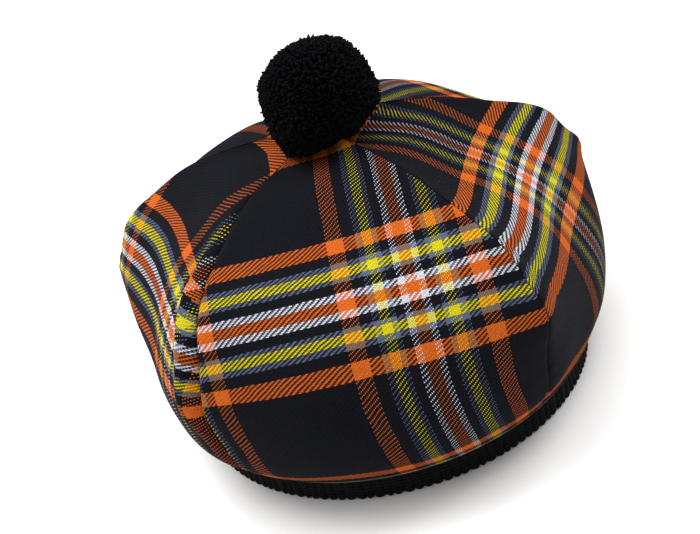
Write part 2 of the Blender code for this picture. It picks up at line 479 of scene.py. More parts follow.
@dataclass(frozen=True)
class PompomYarn:
    """Black yarn whose ends differ a little in shade."""

    colour: tuple[float, float, float] = (0.0012, 0.0012, 0.0017)
    lit: tuple[float, float, float] = (0.0065, 0.0070, 0.0100)
    strand_darkest: float = 0.3
    strand_range: tuple[float, float] = (0.35, 0.7)
    strand_relief: float = 0.0002
    strand_bump: float = 0.8
    surface: DullSurface = DullSurface(
        fuzz_per_metre=2600.0, fuzz_detail=2.0, fuzz_range=(0.3, 0.7), roughness=(0.85, 1.0),
        specular=0.05, sheen=0.006, sheen_roughness=0.6,
    )

    def material(self) -> Material:
        """Build the yarn's material.

        Returns:
            The material.
        """
        bench = NodeBench("black_pompom_yarn")
        shade = bench.add("ShaderNodeAttribute", attribute_name=YARN_SHADE).outputs["Fac"]
        strands = self.surface.fuzz(bench)
        strand_shade = bench.spread(strands, *self.strand_range, self.strand_darkest, 1.0)
        mixed = bench.math("MULTIPLY", shade, strand_shade)
        colour = bench.blend(mixed, (*self.colour, 1.0), (*self.lit, 1.0))
        bench.feed(bench.shader.inputs["Base Color"], colour)
        normal = bench.bump(strands, self.strand_relief, self.strand_bump)
        bench.feed(bench.shader.inputs["Normal"], normal)
        self.surface.dress(bench, strands)
        return bench.material


@dataclass(frozen=True)
class StudioFloor:
    """The plain pale floor."""

    colour: tuple[float, float, float] = (0.90, 0.90, 0.90)
    roughness: float = 0.9

    def material(self) -> Material:
        """Build the floor's material.

        Returns:
            The material.
        """
        bench = NodeBench("pale_floor")
        bench.shader.inputs["Base Color"].default_value = (*self.colour, 1.0)
        bench.shader.inputs["Roughness"].default_value = self.roughness
        return bench.material


def mesh_piece(
    name: str,
    points: np.ndarray,
    faces: np.ndarray | list,
    material: Material,
    flat: np.ndarray | None = None,
) -> Object:
    """Make a smooth mesh object.

    Args:
        name: the piece's name.
        points: its points, one row each.
        faces: its faces, as rows of point numbers.
        material: its material.
        flat: each point's place on the flat pattern, or None.

    Returns:
        The new object, linked to the scene.
    """
    mesh = bpy.data.meshes.new(name)
    mesh.from_pydata(points.tolist(), [], faces.tolist() if isinstance(faces, np.ndarray) else faces)
    if flat is not None:
        layer = mesh.uv_layers.new(name=FLAT_PATTERN)
        corners = np.empty(len(mesh.loops), dtype=np.int32)
        mesh.loops.foreach_get("vertex_index", corners)
        layer.data.foreach_set("uv", flat[corners].astype(np.float32).ravel())
    mesh.materials.append(material)
    mesh.shade_smooth()
    mesh.update()
    piece = bpy.data.objects.new(name, mesh)
    bpy.context.collection.objects.link(piece)
    return piece


def sheet_faces(rows: int, columns: int, start: int = 0, flipped: bool = False) -> np.ndarray:
    """Return the quads of a sheet of points.

    Args:
        rows: how many rows of points it has.
        columns: how many points a row has.
        start: the number of its first point.
        flipped: whether the faces look the other way.

    Returns:
        The quads, as rows of four point numbers.
    """
    row, column = np.mgrid[0:rows - 1, 0:columns - 1]
    first = start + row * columns + column
    corners = (first, first + 1, first + columns + 1, first + columns)
    if flipped:
        corners = corners[::-1]
    return np.stack(corners, axis=-1).reshape(-1, 4)


def rising(value: np.ndarray, start: float, length: float) -> np.ndarray:
    """Return shares that rise from 0 at the start to 1 over the length."""
    return np.clip((value - start) / length, 0.0, 1.0)


def falling(value: np.ndarray, end: float, length: float) -> np.ndarray:
    """Return shares that fall from 1 to 0 at the end, over the length."""
    return np.clip((end - value) / length, 0.0, 1.0)


def report(piece: Object) -> None:
    """Log a finished piece with its number of faces."""
    LOG.info("%s: %d faces", piece.name, len(piece.data.polygons))


@dataclass
class Crown:
    """The gored crown: five cloth panels laid over one table of ring sections."""

    axis: Vector
    radius: float = 0.122
    rise: float = 0.112
    hem_height: float = 0.0105
    hem_radius: float = 0.0949
    apex_radius: float = 0.0015
    cloth: float = 0.002
    gap: float = 0.0003
    panels: int = 5
    front_angle: float = math.radians(-95.9)
    lean_left: float = 0.005
    lean_back: float = 0.003
    corner_share: float = 0.45
    columns: int = 66
    rows: int = 124
    # The radius over this is how far from the apex the cloth's thickness stands upright.
    upright_reach: float = 3.0
    seam_roll: float = 0.0009
    seam_roll_width: float = 0.0030
    # Where the soft changes start near the apex and end near the hem: place and length, in metres.
    soft_start: tuple[float, float] = (-0.016, 0.03)
    soft_end: tuple[float, float] = (0.172, 0.02)
    pucker: float = 0.00022
    pucker_pitch: float = 0.0085
    pucker_start: float = 0.002
    pucker_reach: float = 0.006
    # How the puckers differ, in radians: a turn for each panel, a drift, and its waves a metre.
    pucker_chance: tuple[float, float, float] = (1.7, 2.0, 70.0)
    slack: float = 0.00035
    slack_start: float = 0.02
    # Waves of the slack, in radians a metre, and their turn for each panel. The slanted ones have
    # their share first, and then their waves across and down.
    slack_across: tuple[float, float] = (61.0, 1.3)
    slack_down: tuple[float, float] = (47.0, 0.8)
    slack_slanted: tuple[float, float, float, float] = (0.6, 118.0, 83.0, 2.1)
    warps_per_metre: float = 1523.0
    ring_threads_per_metre: float = 72 / 0.0504
    # Columns: place down the cloth in threads, middle of panel out and up, seam out and up,
    # pinched seam in and down. Out and in are shares of the radius, up and down of the rise.
    top_sections: tuple[tuple[float, ...], ...] = (
        (0, 0.127, 0.956, 0.204, 0.987, 0.030, 0.030),
        (39, 0.344, 0.898, 0.459, 0.925, 0.034, 0.032),
        (78, 0.540, 0.770, 0.707, 0.806, 0.041, 0.036),
        (97, 0.623, 0.720, 0.803, 0.752, 0.056, 0.040),
        (114, 0.706, 0.656, 0.882, 0.683, 0.074, 0.045),
        (131, 0.778, 0.586, 0.938, 0.588, 0.090, 0.050),
        (150, 0.834, 0.504, 0.985, 0.505, 0.102, 0.054),
    )
    # The same columns, but out is a share of the overhang beyond the hem's radius.
    side_sections: tuple[tuple[float, ...], ...] = (
        (189, 0.560, 0.281, 0.700, 0.290, 0.041, 0.027),
        (214, 0.453, 0.147, 0.490, 0.147, 0.010, 0.006),
        (234, 0.230, 0.0625, 0.230, 0.0625, 0.0, 0.0),
        (243, 0.110, 0.027, 0.110, 0.027, 0.0, 0.0),
        (256, 0.0, 0.0, 0.0, 0.0, 0.0, 0.0),
    )
    apex_thread: float = -22.0
    # Columns: top up and side out, as shares of the rise, and the warp's middle stripe in threads.
    panel_table: tuple[tuple[float, float, float], ...] = (
        (0.0, 0.0, 41.6),
        (0.010, -0.045, 12.2),
        (0.215, 0.0, -22.0),
        (0.160, 0.0, -30.0),
        (0.040, -0.090, 59.4),
    )
    seam_pinches: tuple[float, ...] = (1.0, 0.0, -0.7, 0.0, -0.3)
    # Columns: panel, place across and down, and how far the cloth is pulled across and down,
    # in threads.
    pulls: tuple[tuple[int, float, float, float, float], ...] = (
        (1, -88.0, 60.0, -16.0, -4.0),
        (1, -88.0, 82.0, -16.0, -4.0),
        (1, -88.0, 115.0, -16.0, -3.0),
        (1, -88.0, 150.0, -16.0, -2.0),
        (1, -67.0, 100.0, -8.0, 1.0),
        (1, -45.0, 0.0, 1.0, 0.0),
        (1, 0.0, 0.0, 0.0, 0.0),
        (1, 45.0, 0.0, -2.0, 0.0),
        (1, 88.0, 82.0, -2.0, 2.0),
        (1, 88.0, 150.0, 0.0, 2.0),
        (1, -45.0, 45.0, 2.5, 2.0),
        (1, 12.0, 45.0, 0.0, 1.0),
        (1, 50.0, 45.0, -2.5, 1.0),
        (1, -45.0, 82.0, 3.0, 4.0),
        (1, -45.0, 102.0, 2.0, 5.0),
        (1, -45.0, 119.0, 1.0, 4.5),
        (1, -45.0, 140.0, 0.0, 7.0),
        (1, -45.0, 158.0, 0.0, 6.5),
        (1, 45.0, 81.0, -2.0, 3.0),
        (1, 45.0, 118.0, -1.0, 3.0),
        (1, 45.0, 155.0, 0.0, 3.0),
        (1, 0.0, 200.0, 0.0, 3.0),
        (2, 0.0, 20.0, 16.0, 0.0),
        (2, 0.0, 50.0, 9.0, 0.0),
        (2, 0.0, 90.0, 0.0, 0.0),
        (2, 0.0, 160.0, 0.0, 0.0),
        (4, -45.0, 0.0, 0.0, -12.0),
        (4, -20.0, 0.0, 1.0, -5.0),
        (4, 0.0, 0.0, 2.0, 1.0),
        (4, 20.0, 0.0, 4.0, 1.0),
        (4, 45.0, 0.0, 6.0, 1.0),
        (4, -65.0, 50.0, -6.5, 1.0),
        (4, -65.0, 82.0, -9.9, 4.5),
        (4, -65.0, 104.0, -12.3, 6.5),
        (4, -65.0, 122.0, -14.2, 7.0),
        (4, -65.0, 142.0, -14.4, 9.0),
        (4, -65.0, 168.0, -14.4, 16.0),
        (4, -65.0, 230.0, -14.0, 12.0),
        (4, -32.0, 50.0, -2.5, 8.0),
        (4, -32.0, 90.0, -6.8, 12.0),
        (4, -32.0, 110.0, -8.9, 13.0),
        (4, -32.0, 126.0, -10.4, 12.0),
        (4, -32.0, 142.0, -10.4, 9.5),
        (4, -32.0, 165.0, -10.4, 12.5),
        (4, 0.0, 50.0, 1.3, 10.0),
        (4, 0.0, 92.0, -3.2, 14.5),
        (4, 0.0, 112.0, -5.3, 15.5),
        (4, 0.0, 130.0, -6.6, 15.0),
        (4, 0.0, 149.0, -6.6, 16.0),
        (4, 0.0, 163.0, -6.6, 11.0),
        (4, 0.0, 200.0, -5.0, 10.0),
        (4, 45.0, 30.0, 8.8, 3.0),
        (4, 45.0, 60.0, 5.6, 5.0),
        (4, 45.0, 85.0, 3.0, 7.0),
        (4, 45.0, 107.0, 0.6, 10.5),
        (4, 45.0, 130.0, -1.2, 15.0),
        (4, 45.0, 150.0, -1.2, 14.0),
        (4, 45.0, 200.0, -1.0, 10.0),
    )
    pull_scale: tuple[float, float] = (60.0, 110.0)
    pinch_roll: float = 4.4
    pinch_widening: float = 0.7
    pinch_start: tuple[float, float] = (0.018, 0.02)
    fold_rise: float = 0.0034
    fold_place: float = 0.0075
    fold_width: float = 0.0045
    fold_start: tuple[float, float] = (0.040, 0.025)
    fold_end: tuple[float, float] = (0.135, 0.025)
    # Columns: place down the cloth in threads, and how far the pinched seam wanders sideways,
    # in metres.
    wander_table: tuple[tuple[float, float], ...] = (
        (0.0, 0.0),
        (22.0, -0.0036),
        (50.0, -0.0048),
        (78.0, -0.0034),
        (97.0, -0.0018),
        (116.0, 0.0),
    )
    wander_reach: float = 0.022
    # Columns: direction in degrees, then in metres distance from the middle, height, moves out
    # and up, and reach.
    dents: tuple[tuple[float, float, float, float, float, float], ...] = (
        (-4.0, 0.115, 0.048, 0.0056, 0.0, 0.032),
        (14.0, 0.118, 0.070, -0.0034, -0.001, 0.018),
        (-45.0, 0.108, 0.025, -0.0030, 0.0, 0.024),
        (172.0, 0.115, 0.055, 0.0026, 0.0, 0.030),
        (156.0, 0.070, 0.108, 0.0, 0.0036, 0.026),
        (152.0, 0.100, 0.088, 0.0010, 0.0024, 0.022),
    )
    finish: TartanTwill = field(default_factory=TartanTwill)

    @property
    def half_panel(self) -> float:
        """Half of a panel's angle."""
        return math.pi / self.panels

    def sections(self) -> np.ndarray:
        """Return the sections in metres, from the apex to the hem.

        Returns:
            One row for each section: thread, then the six lengths.
        """
        top = self.hem_height + self.rise
        rows = [(self.apex_thread, self.apex_radius, top, self.apex_radius, top, 0.0, 0.0)]
        overhang = self.radius - self.hem_radius
        tables = (
            (self.top_sections, 0.0, self.radius),
            (self.side_sections, self.hem_radius, overhang),
        )
        for table, start, reach in tables:
            for thread, mid_out, mid_up, seam_out, seam_up, pinch_in, pinch_down in table:
                rows.append((
                    thread,
                    start + mid_out * reach,
                    self.hem_height + mid_up * self.rise,
                    start + seam_out * reach,
                    self.hem_height + seam_up * self.rise,
                    pinch_in * self.radius,
                    pinch_down * self.rise,
                ))
        return np.array(rows)

    def rings(self) -> np.ndarray:
        """Return evenly spaced rings on a smooth curve through the sections.

        Returns:
            One row for each ring, in the sections' columns.
        """
        rows = self.sections()
        steps = np.linalg.norm(np.diff(rows[:, 1:5], axis=0), axis=1)
        run = np.concatenate(([0.0], np.cumsum(steps)))
        slopes = np.gradient(rows, run, axis=0)
        wanted = np.linspace(0.0, run[-1], self.rows)
        which = np.clip(np.searchsorted(run, wanted, side="right") - 1, 0, len(run) - 2)
        length = (run[which + 1] - run[which])[:, None]
        u = (wanted[:, None] - run[which][:, None]) / length
        start = rows[which] * (1 + 2 * u) * (1 - u) ** 2 + slopes[which] * length * u * (1 - u) ** 2
        end = rows[which + 1] * u * u * (3 - 2 * u) + slopes[which + 1] * length * u * u * (u - 1)
        return start + end

    def directions(self, panel: int) -> tuple[np.ndarray, np.ndarray]:
        """Return the panel's outward and sideways directions.

        Args:
            panel: the panel's number, counted counterclockwise from the front one.

        Returns:
            The two unit vectors.
        """
        angle = self.front_angle + panel * 2 * self.half_panel
        outward = np.array((math.cos(angle), math.sin(angle), 0.0))
        across = np.array((-math.sin(angle), math.cos(angle), 0.0))
        return outward, across

    def pinches(self, panel: int) -> tuple[float, float]:
        """Return how much of the pinch the panel's first and last seams take."""
        return self.seam_pinches[panel], self.seam_pinches[(panel + 1) % self.panels]

    def outside(self, panel: int) -> tuple[np.ndarray, np.ndarray]:
        """Return the panel's plain outer surface and its flat pattern.

        Args:
            panel: the panel's number.

        Returns:
            The points and their flat places in threads, by row and column.
        """
        outward, across = self.directions(panel)
        up = np.array((0.0, 0.0, 1.0))
        even = np.linspace(-1.0, 1.0, self.columns)
        t = even * (1.5 - 0.5 * even * even)
        pinch = np.where(t < 0, *self.pinches(panel))
        middle = (1 - t * t) ** 2
        top_puff, side_puff, _ = self.panel_table[panel]
        rings = self.rings()
        grid = []
        for _, mid_r, mid_z, seam_r, seam_z, pinch_in, pinch_down in rings:
            radius = seam_r - pinch * pinch_in
            height = seam_z - pinch * pinch_down
            share = (mid_z - self.hem_height) / self.rise
            above = (share - self.corner_share) / (1 - self.corner_share)
            top = math.sin(math.pi * min(max(above, 0.0), 1.0))
            side = math.sin(math.pi * min(max(share / (2 * self.corner_share), 0.0), 1.0))
            out = radius * np.cos(self.half_panel * t) + (mid_r - radius) * (1 - t * t)
            out += side * side_puff * self.rise * middle
            sideways = radius * np.sin(self.half_panel * t)
            rise = mid_z + (height - mid_z) * t * t + top * top_puff * self.rise * middle
            grid.append(out[:, None] * outward + sideways[:, None] * across + rise[:, None] * up)
        points = np.array(grid)
        flat = np.empty(points.shape[:2] + (2,))
        arc = np.linalg.norm(np.diff(points, axis=1), axis=2).cumsum(axis=1)
        arc = np.concatenate((np.zeros((self.rows, 1)), arc), axis=1)
        centre = (arc[:, (self.columns - 1) // 2] + arc[:, self.columns // 2]) / 2
        flat[..., 0] = (arc - centre[:, None]) * self.warps_per_metre
        flat[..., 1] = rings[:, :1]
        return points, flat

    def pulled(self, panel: int, flat: np.ndarray) -> np.ndarray:
        """Move the flat pattern by the pulls of the panel's cloth.

        Args:
            panel: the panel's number.
            flat: the plain flat pattern.

        Returns:
            The moved flat pattern.
        """
        rows = np.array([row[1:] for row in self.pulls if row[0] == panel])
        if len(rows) == 0:
            return flat
        low, high = rows[:, :2].min(axis=0), rows[:, :2].max(axis=0)

        def terms(places: np.ndarray) -> np.ndarray:
            """Return the powers of the places that the fit uses."""
            x, y = np.moveaxis(np.clip(places, low, high) / self.pull_scale, -1, 0)
            return np.stack((np.ones_like(x), x, y, x * x, x * y, y * y, x ** 3), axis=-1)

        fit = np.linalg.lstsq(terms(rows[:, :2]), rows[:, 2:], rcond=None)[0]
        return flat - terms(flat) @ fit

    def normals(self, points: np.ndarray) -> np.ndarray:
        """Return the surface's outward normals, upright near the apex.

        Args:
            points: the surface's points, by row and column.

        Returns:
            The unit normals, by row and column.
        """
        normal = np.cross(np.gradient(points, axis=0), np.gradient(points, axis=1))
        normal /= np.maximum(np.linalg.norm(normal, axis=2, keepdims=True), NO_LENGTH)
        distance = np.linalg.norm(points[..., :2], axis=2)
        slant = np.clip(distance / (self.radius / self.upright_reach), 0, 1)[..., None]
        normal = normal * slant + np.array((0.0, 0.0, 1.0)) * (1 - slant)
        return normal / np.linalg.norm(normal, axis=2, keepdims=True)

    def soften(self, panel: int, points: np.ndarray, flat: np.ndarray) -> np.ndarray:
        """Give the surface its rolled seams, puckers and slack.

        Args:
            panel: the panel's number.
            points: the plain surface.
            flat: its flat pattern.

        Returns:
            The softened surface.
        """
        normal = self.normals(points)
        along = flat[..., 1] / self.ring_threads_per_metre
        side = flat[..., 0] / self.warps_per_metre
        edge = np.minimum(side - side[:, :1], side[:, -1:] - side)
        fade = rising(along, *self.soft_start) * falling(along, *self.soft_end)
        first, last = (max(share, 0.0) for share in self.pinches(panel))
        pinch = np.where(side < 0, first, last) * rising(along, *self.pinch_start)
        roll_width = self.seam_roll_width * (1 + self.pinch_widening * pinch)
        rolled = np.clip(1 - edge / roll_width, 0.0, 1.0) ** 2
        roll = self.seam_roll * (1 + self.pinch_roll * pinch) * rolled
        ridge = np.exp(-((edge - self.fold_place) / self.fold_width) ** 2)
        fold = self.fold_rise * ridge * pinch * (side > 0)
        fold = fold * rising(along, *self.fold_start) * falling(along, *self.fold_end)
        near = np.exp(-edge / self.pucker_reach) * rising(edge, 0.0, self.pucker_start)
        turn, drift, drift_waves = self.pucker_chance
        drifting = drift * np.sin(along * drift_waves + panel)
        waves = np.sin(2 * math.pi * along / self.pucker_pitch + turn * panel + drifting)
        across, across_turn = self.slack_across
        down, down_turn = self.slack_down
        slack = np.sin(side * across + across_turn * panel) * np.sin(along * down + down_turn * panel)
        share, across, down, turn = self.slack_slanted
        slack += share * np.sin(side * across + along * down + turn * panel)
        calm = rising(edge, 0.0, self.slack_start) ** 2
        change = fold - roll + self.pucker * near * waves + self.slack * slack * calm
        return points + normal * (change * fade)[..., None]

    def wander(self, panel: int, flat: np.ndarray) -> np.ndarray:
        """Return how far the pinched seam's wandering moves each point sideways.

        Args:
            panel: the panel's number.
            flat: its plain flat pattern.

        Returns:
            The moves in metres, counterclockwise, by row and column.
        """
        side = flat[..., 0] / self.warps_per_metre
        from_seam = {0: side - side[:, :1], self.panels - 1: side[:, -1:] - side}.get(panel)
        if from_seam is None:
            return np.zeros_like(side)
        places, moves = np.array(self.wander_table).T
        return np.interp(flat[..., 1], places, moves) * np.exp(-(from_seam / self.wander_reach) ** 2)

    def dented(self, points: np.ndarray) -> np.ndarray:
        """Push the cloth in and out in a few wide places.

        Args:
            points: a surface's points, before the crown leans.

        Returns:
            The moved points.
        """
        moved = points.copy()
        radius = np.maximum(np.hypot(points[..., 0], points[..., 1]), self.apex_radius)[..., None]
        outward = np.concatenate((points[..., :2] / radius, np.zeros_like(radius)), axis=-1)
        for direction, distance, height, move_out, move_up, reach in self.dents:
            angle = math.radians(direction)
            centre = np.array((math.cos(angle) * distance, math.sin(angle) * distance, height))
            share = np.exp(-((points - centre) ** 2).sum(axis=-1, keepdims=True) / reach ** 2)
            share = share * np.clip((points[..., 2:] - self.hem_height) / self.hem_height, 0.0, 1.0)
            moved += share * (outward * move_out + np.array((0.0, 0.0, move_up)))
        return moved

    def turned(self, points: np.ndarray, moves: np.ndarray) -> np.ndarray:
        """Move the points sideways round the crown's middle.

        Args:
            points: a surface's points, before the crown leans.
            moves: how far each one goes, in metres.

        Returns:
            The moved points.
        """
        radius = np.hypot(points[..., 0], points[..., 1])
        angle = moves / np.maximum(radius, self.wander_reach / 2)
        c, s = np.cos(angle), np.sin(angle)
        x, y, z = np.moveaxis(points, -1, 0)
        return np.stack((x * c - y * s, x * s + y * c, z), axis=-1)

    def lean(self, points: np.ndarray) -> np.ndarray:
        """Move the rings by the crown's lean and stand them on the band's axis.

        Args:
            points: a surface's points, by row and column.

        Returns:
            The moved points.
        """
        heights = self.rings()[:, 2]
        share = np.clip((heights - self.hem_height) / (self.corner_share * self.rise), 0.0, 1.0)
        lean = (share * share * (3 - 2 * share))[:, None, None]
        shift = np.array((-self.lean_left, self.lean_back, 0.0))
        return points + lean * shift + np.array((self.axis.x, self.axis.y, 0.0))

    def wall(self, panel: int, points: np.ndarray) -> tuple[np.ndarray, np.ndarray]:
        """Return both sides of the panel's cloth, clear of the neighbouring panels.

        Args:
            panel: the panel's number.
            points: the outer surface, before the crown leans.

        Returns:
            The outer and the inner surface.
        """
        outward, across = self.directions(panel)
        outer = points.copy()
        normal = self.normals(points)
        normal[-1] = (0.0, 0.0, -1.0)
        inner = points - normal * self.cloth
        side = across * math.cos(self.half_panel)
        inward = outward * math.sin(self.half_panel)
        for column, plane in ((0, -side - inward), (-1, side - inward)):
            for sheet in (outer, inner):
                room = -(sheet @ plane)
                least = self.gap / 2 + np.maximum(-(outer @ plane), 0.0) / 2
                least[:, column] = self.gap / 2
                short = np.maximum(least - room, 0.0)
                short[:, column] = self.gap / 2 - room[:, column]
                sheet -= short[..., None] * plane
        return outer, inner

    def build_panel(self, panel: int) -> Object:
        """Build one panel as a closed cloth wall and dress it.

        Args:
            panel: the panel's number.

        Returns:
            The panel.
        """
        plain, flat = self.outside(panel)
        soft = self.soften(panel, plain, flat)
        moves = self.wander(panel, flat)
        sheets = [self.lean(self.dented(self.turned(sheet, moves))) for sheet in self.wall(panel, soft)]
        flat[..., 0] += moves * self.warps_per_metre
        points = np.concatenate([sheet.reshape(-1, 3) for sheet in sheets])
        places = np.concatenate([self.pulled(panel, flat).reshape(-1, 2)] * 2)
        count = self.rows * self.columns
        faces = [sheet_faces(self.rows, self.columns), sheet_faces(self.rows, self.columns, count, True)]
        numbers = np.arange(count).reshape(self.rows, self.columns)
        rims = (
            (numbers[0], True),
            (numbers[-1], False),
            (numbers[:, 0], False),
            (numbers[:, -1], True),
        )
        for rim, flipped in rims:
            quads = np.stack((rim[:-1], rim[:-1] + count, rim[1:] + count, rim[1:]), axis=-1)
            faces.append(quads[:, ::-1] if flipped else quads)
        name = f"tartan_panel_{panel + 1}"
        material = self.finish.material(f"tartan_twill_{panel + 1}", self.panel_table[panel][2])
        piece = mesh_piece(name, points, np.concatenate(faces), material, places)
        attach(piece, "root")
        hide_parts(f"crown_panel_{panel + 1}")
        return piece

    def top_points(self) -> np.ndarray:
        """Return the crown's outer points near the pompom.

        Returns:
            The points, one row each.
        """
        reach = self.radius / 2
        tops = [self.lean(self.outside(panel)[0]).reshape(-1, 3) for panel in range(self.panels)]
        points = np.concatenate(tops)
        near = np.hypot(points[:, 0] - self.axis.x, points[:, 1] - self.axis.y) < reach
        return points[near & (points[:, 2] > self.hem_height + self.corner_share * self.rise)]


@dataclass
class Headband:
    """The rib knit band: a round of upright ribs with a folded lower edge."""

    axis: Vector
    radius: float = 0.0945
    wall: float = 0.0034
    height: float = 0.028
    ribs: int = 150
    rib_depth: float = 0.0011
    rib_roundness: float = 0.7
    steps_per_rib: int = 8
    edge_rounding: float = 0.0012
    inner_rounding: float = 0.5
    scallop: float = 0.0005
    # How the ribs sway: share of a rib, radians a metre up, drift in radians, drifts round the band.
    sway: tuple[float, float, float, float] = (0.12, 260.0, 9.0, 7.0)
    stitch_pitch: float = 0.0016
    rows: int = 22
    row_crowding: float = 1.3
    inner_rows: int = 8
    finish: RibKnit = field(default_factory=RibKnit)

    def build(self) -> Object:
        """Build the band as one closed ring and dress it.

        Returns:
            The band.
        """
        columns = self.ribs * self.steps_per_rib
        angle = 2 * math.pi * np.arange(columns + 1) / columns
        ribs = angle * self.ribs / (2 * math.pi)
        crest = np.abs(np.cos(math.pi * ribs)) ** self.rib_roundness
        inner = self.radius - self.wall
        heights = np.linspace(0.0, 1.0, self.rows) ** self.row_crowding * self.height
        swing, waves, drift, drifts = self.sway
        profile = []
        for height in heights:
            turn = max(0.0, 1 - height / self.edge_rounding)
            tuck = self.edge_rounding * (1 - math.sqrt(max(0.0, 1 - turn * turn)))
            radius = self.radius - self.rib_depth * (1 - crest) - tuck
            sway = swing * np.sin(height * waves + drift * np.sin(angle * drifts))
            lift = self.scallop * (1 - crest) * turn
            profile.append((radius, height + lift, angle + sway * 2 * math.pi / self.ribs, height))
        for height in np.linspace(self.height, 0.0, self.inner_rows):
            turn = max(0.0, 1 - height / self.edge_rounding)
            radius = np.full(columns + 1, inner) + self.edge_rounding * turn * self.inner_rounding
            profile.append((radius, np.full(columns + 1, height), angle, 2 * self.height - height))
        points = np.empty((len(profile) + 1, columns + 1, 3))
        flat = np.empty((len(profile) + 1, columns + 1, 2))
        for row, (radius, height, turned, run) in enumerate(profile + profile[:1]):
            points[row, :, 0] = self.axis.x + radius * np.cos(turned)
            points[row, :, 1] = self.axis.y + radius * np.sin(turned)
            points[row, :, 2] = height
            flat[row, :, 0] = ribs + 0.5
            flat[row, :, 1] = run / self.stitch_pitch
        ring = sheet_faces(points.shape[0], points.shape[1], flipped=True)
        material = self.finish.material()
        piece = mesh_piece("ribbed_headband", points.reshape(-1, 3), ring, material, flat.reshape(-1, 2))
        self.close(piece)
        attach(piece, "root")
        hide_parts("headband")
        return piece

    @staticmethod
    def close(piece: Object) -> None:
        """Merge the doubled points where the ring and its profile close.

        Args:
            piece: the band.
        """
        shape = bmesh.new()
        shape.from_mesh(piece.data)
        bmesh.ops.remove_doubles(shape, verts=shape.verts, dist=SAME_PLACE)
        bmesh.ops.recalc_face_normals(shape, faces=shape.faces)
        shape.to_mesh(piece.data)
        shape.free()


